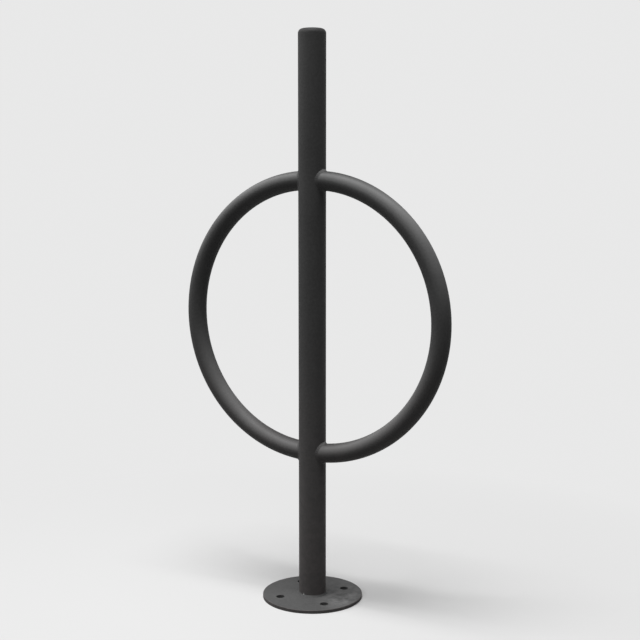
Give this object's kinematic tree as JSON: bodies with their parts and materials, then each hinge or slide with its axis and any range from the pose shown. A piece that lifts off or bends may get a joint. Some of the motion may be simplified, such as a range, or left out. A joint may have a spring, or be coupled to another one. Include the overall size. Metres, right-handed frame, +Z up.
{
  "type": "post and ring bike rack",
  "caption": "Bolt-down steel post carrying an upright tubular ring in two coped halves, for leaning and locking bicycles.",
  "frame": {"origin": "on the post's axis, at the underside of the base plate", "axes": "+Z up along the post; +X in the ring's plane; +Y through the ring, where a bicycle stands"},
  "size_m": [0.5256, 0.178, 1],
  "materials": {
    "powder_coat": "satin charcoal powder coat over galvanised steel"
  },
  "bodies": {
    "root": {"base_plate": "powder_coat", "post_tube": "powder_coat", "top_cap": "powder_coat", "cap_weld": "powder_coat", "base_weld": "powder_coat", "ring_half_right": "powder_coat", "ring_half_left": "powder_coat", "ring_weld_upper_right": "powder_coat", "ring_weld_lower_right": "powder_coat", "ring_weld_upper_left": "powder_coat", "ring_weld_lower_left": "powder_coat"}
  },
  "joints": []
}
